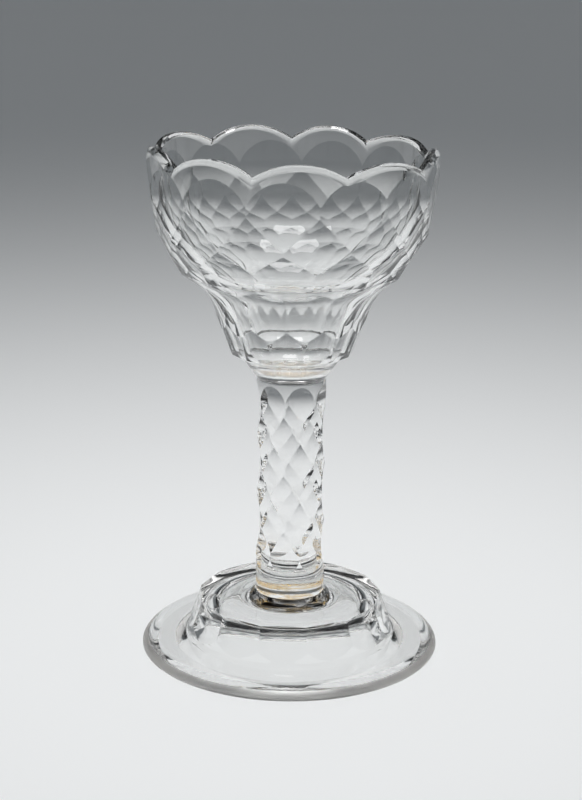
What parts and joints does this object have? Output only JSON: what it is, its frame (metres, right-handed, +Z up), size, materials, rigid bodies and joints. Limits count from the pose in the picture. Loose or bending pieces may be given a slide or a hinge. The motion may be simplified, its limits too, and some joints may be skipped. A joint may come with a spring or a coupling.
{
  "type": "syllabub glass",
  "caption": "Colourless cut glass for syllabub: scalloped double-ogee bowl with broad diamond cuts, solid stem cut with interlocking diamonds, domed and cut foot",
  "frame": {"origin": "middle of the flat ring that the foot stands on, at the bottom of the glass", "axes": "+Z up along the stem, -Y towards the camera of the picture, +X to the right in the picture"},
  "size_m": [0.0878, 0.0878, 0.1514],
  "materials": {
    "bowl": "clear colourless lead glass, wheel-cut and polished outside, fire-bright inside, the rim ground in scallops with its outer edge rounded",
    "stem": "clear colourless lead glass, solid, wheel-cut and polished",
    "foot": "clear colourless lead glass, dome wheel-cut and polished, flange fire-polished"
  },
  "bodies": {
    "root": {"bowl": "bowl", "stem": "stem", "foot": "foot"}
  },
  "joints": []
}
